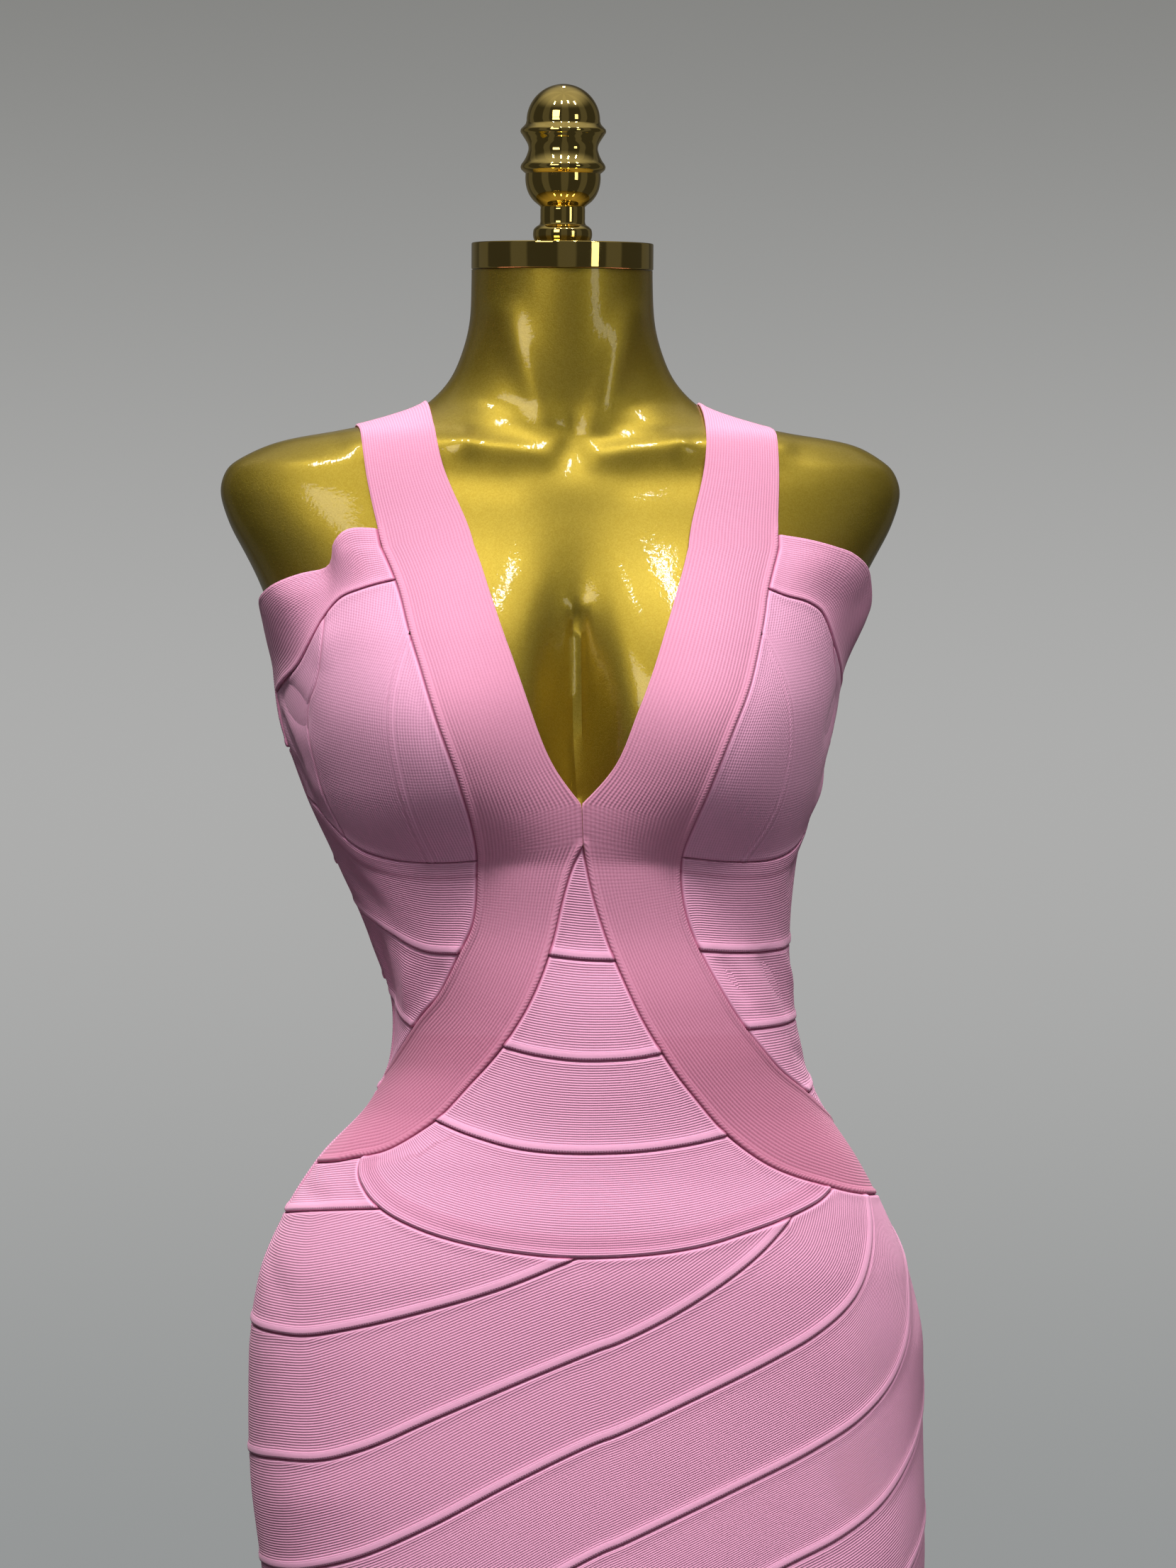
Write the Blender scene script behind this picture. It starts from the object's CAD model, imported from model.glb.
"""The looks of a pink bandage dress on its gold dress form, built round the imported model's frame.

Tables and lengths are in millimetres, as in the part's own source, and Blender's are in metres.
The front faces -Y; left and right are as seen from the front.  A place on the cloth is its turn
round the body from centre front in degrees and its height; above SHOULDER_BASE the height runs on
over the shoulder and down the back, as on a tape laid there.
"""
import math

import bpy
import numpy as np
from mathutils import Matrix, Vector


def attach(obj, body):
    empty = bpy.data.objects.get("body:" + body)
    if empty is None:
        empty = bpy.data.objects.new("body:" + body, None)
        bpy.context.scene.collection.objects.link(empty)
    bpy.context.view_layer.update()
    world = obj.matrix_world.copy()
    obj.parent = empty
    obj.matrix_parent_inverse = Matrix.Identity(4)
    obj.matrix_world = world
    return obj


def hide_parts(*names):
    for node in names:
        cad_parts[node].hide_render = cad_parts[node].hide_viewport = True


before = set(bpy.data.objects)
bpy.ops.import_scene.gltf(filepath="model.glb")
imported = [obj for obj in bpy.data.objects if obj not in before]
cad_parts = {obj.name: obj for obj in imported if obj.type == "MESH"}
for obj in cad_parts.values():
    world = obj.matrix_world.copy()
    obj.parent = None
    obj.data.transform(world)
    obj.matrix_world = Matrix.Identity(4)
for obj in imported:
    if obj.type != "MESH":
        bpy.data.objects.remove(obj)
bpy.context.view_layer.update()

MM = 0.001

# Driving sizes, the same as the part's
HEM = 500
HEM_BAND_TOP = 562
BACK_TOP = 1287
FORM_BOTTOM = 700
NECK_TOP = 1489
NECK_TILT = 4.0
SHOULDER_BASE = 1330
SHOULDER_ROLL = 70
SHOULDER_REACH = 150
SIDE = 90

# The cloth: the gap at its seams, how far its outer face stands off the form (less on the CHEST's
# heights, more for the V bands), and its thickness
SEAM_GAP = 0.12
CLOTH_LIFT = 3.6
CHEST_LIFT = 1.6
CHEST = (1180, 1330)
V_BAND_LIFT = 0.4
CLOTH = 1.4

# Its rise between long seams, full at PILLOW_WIDTH: a round part, and a part that leans to one seam
PILLOW = 1.3
STRAP_PILLOW = 0.5
PILLOW_WIDTH = 60
PILLOW_POWER = 0.8
LAP_SHARE = 0.5
LAP_POWER = 1.6

# How much longer round the body, or along a strap, the cloth is taken to be worn than cut
STRETCH = 1.1

# The V bands are joined from V_POINT down to APEX and lie free above STRAP_JOIN; the cup lines are
# stitched NEEDLE_IN from their seam
V_POINT = 1190
APEX = 1168
STRAP_JOIN = 1340
NEEDLE_IN = 2.4

# Grid sizes: the spacing of the cloth's lines, and of the finer ones in from each rim
SPACING = 4.0
RIM_LINES = (0, 0.3, 0.8, 1.5, 2.4, 3.5, 4.8, 6.5, 8.5)
RIM_SHARE = 0.42
TIP_WIDTH = 0.6
SIZE_STEPS = 61
CREASE_STEPS = 25
FAR = 40

# The form's rings and columns: from this height or turn on, the step; smoothing rounds and share
FORM_HEIGHTS = ((FORM_BOTTOM, 5), (SHOULDER_BASE, 2), (1376, 1), (1416, 2.5))
FORM_TURNS = ((-180, 1.8), (-24, 0.8), (24, 1.8))
FORM_SMOOTHING = 12
SMOOTH_SHARE = 0.6
TILT_FROM = 1440

# Body sections: height, half width, centre x, depth in front, depth behind, squareness (2 is an ellipse)
BODY = (
    (HEM, 160, 18, 103, 101, 2.1),
    (600, 169, 18, 103, 110, 2.1),
    (700, 178.5, 18.5, 101, 117, 2.15),
    (763, 183, 18, 100, 121, 2.2),
    (827, 186, 14.3, 99, 124, 2.2),
    (880, 186, 14.2, 98.5, 123, 2.2),
    (923, 179.5, 13.4, 98.5, 117, 2.2),
    (955, 167, 13, 96, 108, 2.2),
    (987, 148.5, 14.4, 89.5, 97, 2.2),
    (1019, 124, 18.8, 87, 85, 2.2),
    (1045, 112.5, 19.8, 87.5, 76, 2.2),
    (1075, 109, 17.5, 86.5, 71, 2.2),
    (1115, 114, 10, 83.5, 74, 2.2),
    (1162, 127, 2.5, 89, 83, 2.25),
    (1200, 142, 0, 94, 89, 2.3),
    (1240, 154, -2, 97, 93, 2.3),
    (1275, 159, -2, 93, 94, 2.3),
    (1300, 164, -1, 86, 92, 2.3),
    (1325, 176, 0, 76, 88, 2.3),
    (1348, 188, 0, 67, 82, 2.3),
    (1365, 192.5, 0, 61, 76, 2.3),
    (1376, 189, 0, 57, 70, 2.3),
    (1386, 175.5, 1.5, 54, 65, 2.2),
    (1393, 158, 3, 51, 61, 2.2),
    (1399, 118, 0, 49, 58, 2.1),
    (1413, 77, 0, 47, 55, 2.0),
    (1433, 60, 0, 48, 52, 2.0),
    (1466, 51.5, 0, 50, 50, 2.0),
    (NECK_TOP, 51, 0, 51, 48, 2.0),
)

# Each breast is a soft mound, longer above its crown than below; between them the form is hollow.
BUST = {"x": 84, "height": 1224, "rise": 31, "width": 58, "above": 72, "below": 66, "soft": 0.08}
CLEAVAGE = {"depth": 26, "width": 17, "height": 1235, "reach": 68}
THROAT = {"depth": 5, "width": 14, "height": 1388, "reach": 12}

# Ridges on the form: name, start x and height, end x and height, rise, width of each side
FORM_RIDGES = (
    ("collarbone", 15, 1381, 60, 1388, 1.7, 7.0),
    ("collarbone_end", 60, 1388, 118, 1388, 1.8, 8.0),
    ("chest_hollow", 36, 1368, 92, 1371, -1.1, 12.0),
    ("neck_tendon", 9, 1391, 36, 1462, 2.0, 9.0),
    ("cleavage_crease", 0, 1192, 0, 1292, -5.0, 4.0),
)

# Seams: rows of (turn, height).  A repeated row is a corner.
SEAMS = {
    "side_left": ((-SIDE, HEM - 5), (-SIDE, 900), (-SIDE, BACK_TOP + 5)),
    "side_right": ((SIDE, HEM - 5), (SIDE, 900), (SIDE, BACK_TOP + 8)),
    "hem": ((-SIDE, HEM), (0, HEM), (SIDE, HEM)),
    "hem_band": ((-SIDE, HEM_BAND_TOP), (0, HEM_BAND_TOP), (SIDE, HEM_BAND_TOP)),
    # V bands, from the back's top edge over the shoulder to the hip; rows of a pair lie opposite
    "inner_left": (
        (-20, 1600), (-21.5, 1520), (-22, 1440), (-21, 1386), (-15.5, 1334), (-13.8, 1303),
        (-10.8, 1271), (-7.8, 1241), (-4.2, 1210), (0, 1190), (0, 1190), (0, 1168), (0, 1168),
        (-5.5, 1138), (-12, 1107), (-21.5, 1078), (-30.5, 1055), (-38.5, 1036), (-45, 1015),
        (-52, 999), (-66, 991), (-90, 986),
    ),
    "outer_left": (
        (-33, 1600), (-35.5, 1520), (-37.5, 1440), (-36.8, 1386), (-33, 1325), (-31.5, 1289),
        (-29, 1258), (-26.5, 1229), (-24.5, 1200), (-23.6, 1180), (-24, 1161), (-26, 1146),
        (-31, 1124), (-40, 1104), (-51, 1085), (-64, 1069), (-73, 1057), (-79, 1050),
        (-85, 1043), (-90, 1037),
    ),
    "inner_right": (
        (20, 1600), (21.5, 1520), (22, 1440), (21.5, 1386), (17.5, 1334), (16.2, 1303),
        (13.5, 1271), (10, 1241), (5.6, 1210), (0, 1190), (0, 1190), (0, 1168), (0, 1168),
        (1.2, 1132), (3, 1106), (6.2, 1078), (12, 1052), (19.8, 1028), (27, 1007),
        (35, 991), (54, 975), (90, 966),
    ),
    "outer_right": (
        (33, 1600), (35.5, 1520), (37.5, 1440), (37.5, 1386), (36.2, 1325), (36.6, 1289),
        (34, 1258), (29.8, 1230), (26, 1200), (23.8, 1180), (22.2, 1161), (22.4, 1146),
        (24.3, 1124), (28.5, 1102), (35.5, 1077), (44, 1057), (54, 1040), (65, 1028),
        (77, 1016), (90, 1008),
    ),
    "strap_end": ((-45, 0), (0, 0), (45, 0)),
    # Bust
    "band_edge_left": (
        (-30, 1342), (-33, 1341), (-40, 1339), (-48, 1320), (-56, 1316), (-66, 1311),
        (-78, 1303), (-90, BACK_TOP),
    ),
    "band_seam_left": (
        (-29, 1313), (-41, 1307), (-48, 1302), (-54, 1292), (-60.5, 1278), (-67.5, 1266),
        (-78, 1258), (-90, 1252),
    ),
    "band_edge_right": (
        (33, 1340), (41.5, 1337), (50, 1333), (60, 1328), (70, 1321), (80, 1309), (90, BACK_TOP),
    ),
    "band_seam_right": (
        (33, 1310), (42, 1304), (50, 1301), (56.5, 1296), (61.5, 1288), (67, 1278),
        (78, 1263), (90, 1252),
    ),
    "cup_line_left": (
        (-29, 1292), (-33.5, 1270), (-36, 1254), (-38, 1235), (-39.5, 1205), (-39.2, 1175),
        (-37, 1154),
    ),
    "cup_line_right": (
        (34, 1290), (41, 1268), (45, 1252), (48, 1235), (50.5, 1208), (49, 1180), (41, 1154),
    ),
    "cup_side_left": (
        (-53, 1298), (-56, 1272), (-60, 1255), (-66, 1241), (-69, 1217), (-71, 1196),
        (-70, 1178), (-67, 1160),
    ),
    "cup_side_right": (
        (61, 1296), (69, 1268), (75, 1250), (79, 1225), (79.5, 1200), (76, 1160),
    ),
    "underbust_left": (
        (-20, 1160), (-37, 1158), (-52, 1160), (-66, 1167), (-74, 1177), (-81, 1187), (-90, 1194),
    ),
    "underbust_right": (
        (19, 1162), (41, 1158), (60, 1160), (72, 1166), (82, 1176), (90, 1184),
    ),
    # Midriff, sides
    "midriff_left_1": ((-35, 1107), (-52, 1109), (-65, 1118), (-90, 1135)),
    "midriff_left_2": ((-62, 1062), (-74, 1069), (-90, 1083)),
    "midriff_right_1": ((22, 1109), (39, 1107), (55, 1107), (72, 1109), (90, 1113)),
    "midriff_right_2": ((36, 1064), (54, 1065), (90, 1069)),
    "midriff_right_3": ((60, 1025), (75, 1028), (90, 1033)),
    # Midriff, centre
    "point": ((-4, 1167), (4, 1167)),
    "centre_1": ((-14, 1107), (-4, 1104), (6, 1103)),
    "centre_2": ((-33, 1058), (-20, 1052), (-6, 1049), (4, 1050), (15, 1054)),
    "centre_3": ((-50, 1017), (-30, 1006), (-17, 1000), (-4, 998), (6, 999), (16, 1002), (30, 1008)),
    "centre_arc": (
        (-62, 996), (-59, 986), (-53, 976), (-45, 966), (-35, 957), (-25, 950), (-15, 945), (-4, 942),
        (6, 943), (16, 947), (26, 954), (38, 962), (50, 971), (57, 979),
    ),
    # Skirt, from the left side rising to the right hip
    "skirt_0": ((-90, 959), (-62, 964), (-42, 967)),
    "skirt_1": ((-90, 899), (-70, 897), (-58, 897), (-46, 902), (-30, 913), (-15, 927), (-3, 943)),
    "skirt_2": (
        (-90, 827), (-69, 828), (-50, 831), (-42, 837), (-28, 854), (-14, 873), (-1, 892),
        (8, 907), (18, 925), (28, 943), (40, 966),
    ),
    "skirt_3": (
        (-90, 766), (-60, 769), (-45, 778), (-30, 795), (-14, 820), (-1, 842), (12, 863),
        (27, 884), (37, 897), (49, 916), (57, 935), (66, 957), (74, 978),
    ),
    "skirt_4": (
        (-90, 697), (-60, 700), (-45, 709), (-30, 728), (-14, 758), (4, 791), (19, 813),
        (36, 834), (48, 849), (59, 868), (68, 892), (78, 922), (90, 945),
    ),
    "skirt_5": (
        (-90, 630), (-60, 633), (-45, 642), (-30, 661), (-14, 692), (5, 731), (28, 770),
        (42, 785), (54, 800), (67, 822), (78, 842), (90, 868),
    ),
    "skirt_6": (
        (-95, 556), (-78, 563), (-60, 568), (-45, 576), (-30, 595), (-14, 625), (5, 663),
        (28, 704), (45, 727), (60, 750), (75, 775), (90, 795),
    ),
    "skirt_7": ((-21, 549), (-14, 561), (5, 597), (28, 638), (45, 661), (60, 683), (75, 705), (90, 722)),
    "skirt_8": ((11, 546), (20, 562), (30, 577), (45, 596), (60, 617), (75, 636), (90, 650)),
}

# Heights of the straight seams across the back, top to bottom
BACK_ROWS = (BACK_TOP, 1222, 1157, 1092, 1027, 959, 899, 827, 766, 697, 630, HEM_BAND_TOP, HEM)

# Panels: name, knit, how its ribs run, then lower, right, upper and left seams.  Ribs run up the
# length, beside the lower or the upper seam, evenly between the two, or with stitches as a grid.
# None is a side drawn in to a point, and a pair of seams runs on from one to the other.
FRONT_PANELS = (
    ("v_band_left", "v_band", "length", "side_left", "inner_left", "strap_end", "outer_left"),
    ("v_band_right", "v_band", "length", "side_right", "outer_right", "strap_end", "inner_right"),
    ("bust_band_left", "fine", "even", "band_seam_left", "outer_left", "band_edge_left", "side_left"),
    ("bust_band_right", "fine", "even", "band_seam_right", "side_right", "band_edge_right",
     "outer_right"),
    ("cup_outer_left", "cup", "grid", "underbust_left", "cup_side_left", "band_seam_left", "side_left"),
    ("cup_middle_left", "cup", "grid", "underbust_left", ("cup_line_left", "outer_left"),
     "band_seam_left", "cup_side_left"),
    ("cup_inner_left", "cup", "grid", "underbust_left", "outer_left", None, "cup_line_left"),
    ("cup_inner_right", "cup", "grid", "underbust_right", "cup_line_right", None, "outer_right"),
    ("cup_middle_right", "cup", "grid", "underbust_right", "cup_side_right", "band_seam_right",
     ("cup_line_right", "outer_right")),
    ("cup_outer_right", "cup", "grid", "underbust_right", "side_right", "band_seam_right",
     "cup_side_right"),
    ("midriff_left_1", "band", "even", "midriff_left_1", "outer_left", "underbust_left", "side_left"),
    ("midriff_left_2", "band", "upper", "midriff_left_2", "outer_left", "midriff_left_1", "side_left"),
    ("midriff_left_3", "band", "upper", None, "outer_left", "midriff_left_2", "side_left"),
    ("midriff_right_1", "band", "even", "midriff_right_1", "side_right", "underbust_right",
     "outer_right"),
    ("midriff_right_2", "band", "upper", "midriff_right_2", "side_right", "midriff_right_1",
     "outer_right"),
    ("midriff_right_3", "band", "upper", "midriff_right_3", "side_right", "midriff_right_2",
     "outer_right"),
    ("midriff_right_4", "band", "upper", None, "side_right", "midriff_right_3", "outer_right"),
    ("centre_band_1", "band", "lower", "centre_1", "inner_right", "point", "inner_left"),
    ("centre_band_2", "band", "even", "centre_2", "inner_right", "centre_1", "inner_left"),
    ("centre_band_3", "band", "even", "centre_3", "inner_right", "centre_2", "inner_left"),
    ("centre_band_4", "arc_band", "even", "centre_arc", "inner_right", "centre_3", "inner_left"),
    ("hip_band_left", "band", "lower", "skirt_0", "centre_arc", "inner_left", "side_left"),
    ("skirt_band_1", "band", "lower", "skirt_1", "centre_arc", "skirt_0", "side_left"),
    ("skirt_band_2", "band", "lower", "skirt_2", "centre_arc", "skirt_1", "side_left"),
    ("skirt_band_3", "band", "lower", "skirt_3", ("inner_right", "centre_arc"), "skirt_2", "side_left"),
    ("skirt_band_4", "band", "even", "skirt_4", ("side_right", "inner_right"), "skirt_3", "side_left"),
    ("skirt_band_5", "band", "even", "skirt_5", "side_right", "skirt_4", "side_left"),
    ("skirt_band_6", "band", "upper", ("hem_band", "skirt_6"), "side_right", "skirt_5", "side_left"),
    ("skirt_band_7", "band", "upper", ("hem_band", "skirt_7"), "side_right", "skirt_6", None),
    ("skirt_band_8", "band", "upper", ("hem_band", "skirt_8"), "side_right", "skirt_7", None),
    ("skirt_band_9", "band", "upper", "hem_band", "side_right", "skirt_8", None),
    ("hem_front", "band", "even", "hem", "side_right", "hem_band", "side_left"),
)

# How far the loose top edge of each bust band stands off: share along the band, millimetres
EDGE_STAND = {
    "bust_band_left": ((0, 1), (0.18, 6), (0.42, 13), (0.65, 0), (0.84, 9), (1, 1)),
    "bust_band_right": ((0, 0), (0.3, 5), (0.6, 5), (0.8, 9), (1, 4)),
}

# Creases: the pieces they cross, start turn and height, end turn and height, rise, width of each side
CREASES = (
    ("cup", -84, 1256, -64, 1234, -3.2, 10),
    ("cup", -88, 1242, -77, 1206, -2.8, 6),
    ("cup", -80, 1226, -73, 1190, 1.3, 7),
    ("cup", -87, 1218, -80, 1188, -2.4, 5),
    ("cup", -52, 1290, -58, 1262, 1.4, 9),
    ("cup", 78, 1256, 69, 1222, -2.2, 8),
    ("cup", 87, 1240, 80, 1204, -2.6, 6),
    ("cup", 84, 1212, 77, 1184, 1.6, 6),
    ("midriff_left", -84, 1168, -62, 1124, -1.8, 8),
    ("midriff_left", -60, 1108, -73, 1072, 2.4, 6),
    ("midriff_left", -75, 1120, -86, 1076, -3.2, 7),
    ("midriff_left", -46, 1103, -56, 1080, -1.6, 5),
    ("midriff_right", 33, 1106, 45, 1076, -2.2, 5),
    ("midriff_right", 60, 1114, 82, 1082, 2.0, 6),
    ("midriff_right", 50, 1108, 70, 1070, -2.6, 6),
    ("midriff_right", 86, 1168, 70, 1140, -1.6, 8),
    ("midriff_right", 62, 1052, 84, 1042, -1.2, 6),
    ("hip_band_left", -88, 974, -62, 968, -1.0, 6),
    ("skirt", -86, 940, -64, 912, -0.9, 9),
    ("skirt", 84, 930, 70, 886, -0.8, 9),
    ("skirt", -78, 800, -40, 812, 0.7, 12),
    ("centre_band_1", -2.4, 1157.6, 2.4, 1157.6, 0.9, 1.0),
    ("back", 100, 1112, 128, 1096, -2.2, 8),
    ("back", 112, 1072, 150, 1062, 1.8, 7),
    ("back", 152, 1080, 190, 1085, -2.0, 8),
    ("back", 206, 1064, 246, 1078, -2.4, 7),
    ("back", 222, 1112, 254, 1128, 1.6, 8),
    ("back", 130, 1040, 160, 1030, -1.6, 7),
    ("back", 196, 1036, 236, 1026, -1.3, 8),
    ("back", 104, 992, 124, 972, -1.0, 9),
    ("back", 238, 984, 258, 960, -1.1, 9),
    ("back", 118, 1190, 150, 1198, -1.1, 10),
    ("back", 214, 1204, 240, 1192, 1.0, 9),
    ("back", 120, 812, 160, 806, -0.8, 14),
    ("back", 200, 760, 246, 770, 0.8, 14),
)

# The cloth's face beside each kind of edge: millimetres in from the edge, rise
PROFILES = {
    "over": ((0, 0.0), (0.4, 0.5), (1.2, 0.75), (3.4, 0.7), (4.6, 0.3), (6.5, 0)),
    "under": ((0, -1.0), (0.6, -0.75), (1.3, 0.0), (2.3, 0.38), (3.8, 0.2), (6, 0)),
    "free": ((0, -0.4), (0.4, 0), (1.2, 0.12), (2.4, 0.08), (4, 0)),
    "whip": ((0, -0.2), (0.3, 0.4), (1.0, 0.75), (2.4, 0.65), (3.4, 0.1), (4.2, -0.1), (6, 0)),
    "hem": ((0, 0.0), (0.5, 0.5), (1.5, 0.7), (7, 0.6), (8.4, 0.3), (9, -0.1), (9.8, -0.1), (11.5, 0)),
    "arc": ((0, 0.1), (0.5, 0.7), (1.4, 0.95), (2.8, 0.8), (3.8, 0.4), (10, 0.3), (12, 0)),
    "seam": ((0, -0.5), (0.5, -0.35), (1.3, 0), (2.6, 0.1), (4, 0)),
    "join": ((0, 0.15), (0.6, 0.3), (1.6, 0.05), (3, 0)),
    "needle": ((0, 0.25), (1.5, 0.25), (2.4, -0.35), (3.5, 0.15), (4.8, 0)),
    "lap": ((0, 0.2), (0.3, 0.45), (0.8, 0.5), (1.5, 0.3), (3.5, 0)),
    "side": ((0, -0.5), (0.6, -0.3), (2, 0), (4, 0)),
}

# Finial profile above the cap, as smooth stretches: radius, height; the dome above is a half circle
FINIAL_STRETCHES = (
    ((20.7, 68), (21.2, 66.4), (22.7, 64.6), (23.9, 63.2), (24.1, 61.9), (23.2, 60.3), (21.2, 57.2),
     (19.8, 54.5), (19.5, 52.6), (20.2, 49.6), (22, 45.8), (23.6, 43.4), (23.9, 42.2), (23.6, 41),
     (22.3, 39.6), (21.1, 38.6)),
    ((21.1, 38.6), (21.2, 36), (20.7, 31.5), (19.2, 27.2), (16.7, 23.6), (13.4, 20.8)),
    ((13.4, 20.8), (12.7, 20.2), (12.6, 18), (12.6, 14), (12.7, 11), (13.1, 10)),
    ((13.1, 10), (14.8, 8.9), (16.2, 7.4), (16.6, 5.6), (16.5, 3), (15.9, 1.2), (15.6, 0)),
)
DOME_RADIUS = 20.7
DOME_BASE = 68

# Neck cap and stand
CAP_RADIUS = 51.2
CAP_HEIGHT = 15
POLE_RADIUS = 14
BASE_RADIUS = 165
BASE_HEIGHT = 14
COLLAR_HEIGHT = 46
FIT = 0.3
TURNED_STEPS = 160


# ---- The body's surface ------------------------------------------------------------------------
def smooth_column(rows, column):
    """A smooth curve through one column of a table that doesn't overshoot between its rows."""
    at = np.array([row[0] for row in rows], float)
    value = np.array([row[column] for row in rows], float)
    step = np.diff(at)
    rise = np.diff(value) / step
    slope = np.concatenate(([rise[0]], np.zeros(len(at) - 2), [rise[-1]]))
    for i in range(1, len(at) - 1):
        if rise[i - 1] * rise[i] > 0:
            before = 2 * step[i] + step[i - 1]
            after = step[i] + 2 * step[i - 1]
            slope[i] = (before + after) / (before / rise[i - 1] + after / rise[i])

    def read(where):
        where = np.clip(where, at[0], at[-1])
        i = np.clip(np.searchsorted(at, where) - 1, 0, len(at) - 2)
        t = (where - at[i]) / step[i]
        start = (1 + 2 * t) * (1 - t) ** 2 * value[i] + t * (1 - t) ** 2 * step[i] * slope[i]
        end = t * t * (3 - 2 * t) * value[i + 1] + t * t * (t - 1) * step[i] * slope[i + 1]
        return start + end

    return read


HALF_WIDTH, CENTRE, FRONT, BACK, SQUARENESS = (smooth_column(BODY, c) for c in range(1, 6))
RISES = {kind: smooth_column(rows, 1) for kind, rows in PROFILES.items()}
STANDS = {name: smooth_column(rows, 1) for name, rows in EDGE_STAND.items()}


def bust_rise(x, height):
    """The breasts' rise: bell-shaped above the crown, a round bowl below with a soft lower edge."""
    from_crown = height - BUST["height"]
    bowl = 1 - (from_crown / BUST["below"]) ** 2
    bowl = (bowl + np.sqrt(bowl**2 + BUST["soft"] ** 2)) / (1 + math.sqrt(1 + BUST["soft"] ** 2))
    tall = np.where(from_crown > 0, np.exp(-((from_crown / BUST["above"]) ** 2)), bowl)
    left = np.exp(-((x + BUST["x"]) / BUST["width"]) ** 2)
    right = np.exp(-((x - BUST["x"]) / BUST["width"]) ** 2)
    return BUST["rise"] * tall * (left + right)


def section_x(turn, height):
    side = np.sin(np.radians(turn))
    return CENTRE(height) + HALF_WIDTH(height) * np.sign(side) * np.abs(side) ** (2 / SQUARENESS(height))


def torso_point(turn, height):
    """The point at a turn and height on the body's sections."""
    ahead = np.cos(np.radians(turn))
    x = section_x(turn, height)
    depth = np.where(ahead > 0, FRONT(height), BACK(height))
    y = -np.sign(ahead) * depth * np.abs(ahead) ** (2 / SQUARENESS(height))
    y = y - np.where(ahead > 0, bust_rise(x - CENTRE(height), height) * np.abs(ahead), 0)
    return np.stack((x, y, height), -1)


def inside_body(x, y, height):
    share = np.abs(x - CENTRE(height)) / HALF_WIDTH(height)
    room = np.clip(1 - share ** SQUARENESS(height), 0, 1)
    depth = np.where(y < 0, FRONT(height), BACK(height)) * room ** (1 / SQUARENESS(height))
    depth = depth + np.where(y < 0, bust_rise(x - CENTRE(height), height) * np.sqrt(room), 0)
    return (share < 1) & (np.abs(y) < depth)


def shoulder_point(turn, height):
    """The point at a turn where a tape over the shoulder has risen to this height, by halving."""
    base = np.full_like(height, SHOULDER_BASE)
    x = section_x(turn, base)
    roll = (height - SHOULDER_BASE) / SHOULDER_ROLL
    near = np.zeros_like(height)
    far = np.full_like(height, SHOULDER_REACH)
    for _ in range(30):
        middle = (near + far) / 2
        within = inside_body(x, -middle * np.cos(roll), SHOULDER_BASE + middle * np.sin(roll))
        near = np.where(within, middle, near)
        far = np.where(within, far, middle)
    return np.stack((x, -near * np.cos(roll), SHOULDER_BASE + near * np.sin(roll)), -1)


def behind_shoulder(height):
    """Swaps a height on the back with the length of the tape that comes down to it."""
    return 2 * SHOULDER_BASE + math.pi * SHOULDER_ROLL - height


def body_point(turn, height):
    turn, height = np.broadcast_arrays(np.asarray(turn, float), np.asarray(height, float))
    over = (height > SHOULDER_BASE) & (height < behind_shoulder(SHOULDER_BASE))
    down = height >= behind_shoulder(SHOULDER_BASE)
    flat = np.where(over, SHOULDER_BASE, np.where(down, behind_shoulder(height), height))
    point = torso_point(np.where(down, 180 - turn, turn), flat)
    point[over] = shoulder_point(turn[over], height[over])
    return point


def body_normal(turn, height, aside=1.0, above=3.0):
    """The body's outward direction, read over a few millimetres so that it turns smoothly."""
    across = body_point(turn + aside, height) - body_point(turn - aside, height)
    along = body_point(turn, height + above) - body_point(turn, height - above)
    normal = np.cross(across, along)
    return normal / np.linalg.norm(normal, axis=-1, keepdims=True)


# ---- Seams -------------------------------------------------------------------------------------
def smooth_line(rows, scale, drawn_steps):
    """A smooth line through rows of a table, and each drawn point's place in the table."""
    rows = np.array(rows, float)
    if len(rows) == 2:
        share = np.linspace(0, 1, drawn_steps + 1)
        return rows[0] + (rows[1] - rows[0]) * share[:, None], share
    step = np.linalg.norm(np.diff(rows * np.array(scale), axis=0), axis=1)[:, None]
    rate = np.diff(rows, axis=0) / step
    inner = (rate[:-1] * step[1:] + rate[1:] * step[:-1]) / (step[:-1] + step[1:])
    slope = np.vstack((rate[:1], inner, rate[-1:]))
    drawn = [rows[:1]]
    t = np.linspace(0, 1, drawn_steps + 1)[1:, None]
    for i in range(len(rows) - 1):
        start = (1 + 2 * t) * (1 - t) ** 2 * rows[i] + t * (1 - t) ** 2 * step[i] * slope[i]
        end = t * t * (3 - 2 * t) * rows[i + 1] + t * t * (t - 1) * step[i] * slope[i + 1]
        drawn.append(start + end)
    points = np.vstack(drawn)
    return points, np.linspace(0, len(rows) - 1, len(points))


def run_along(points):
    """The length up to each point of a line."""
    return np.concatenate(([0], np.cumsum(np.linalg.norm(np.diff(points, axis=0), axis=1))))


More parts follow.
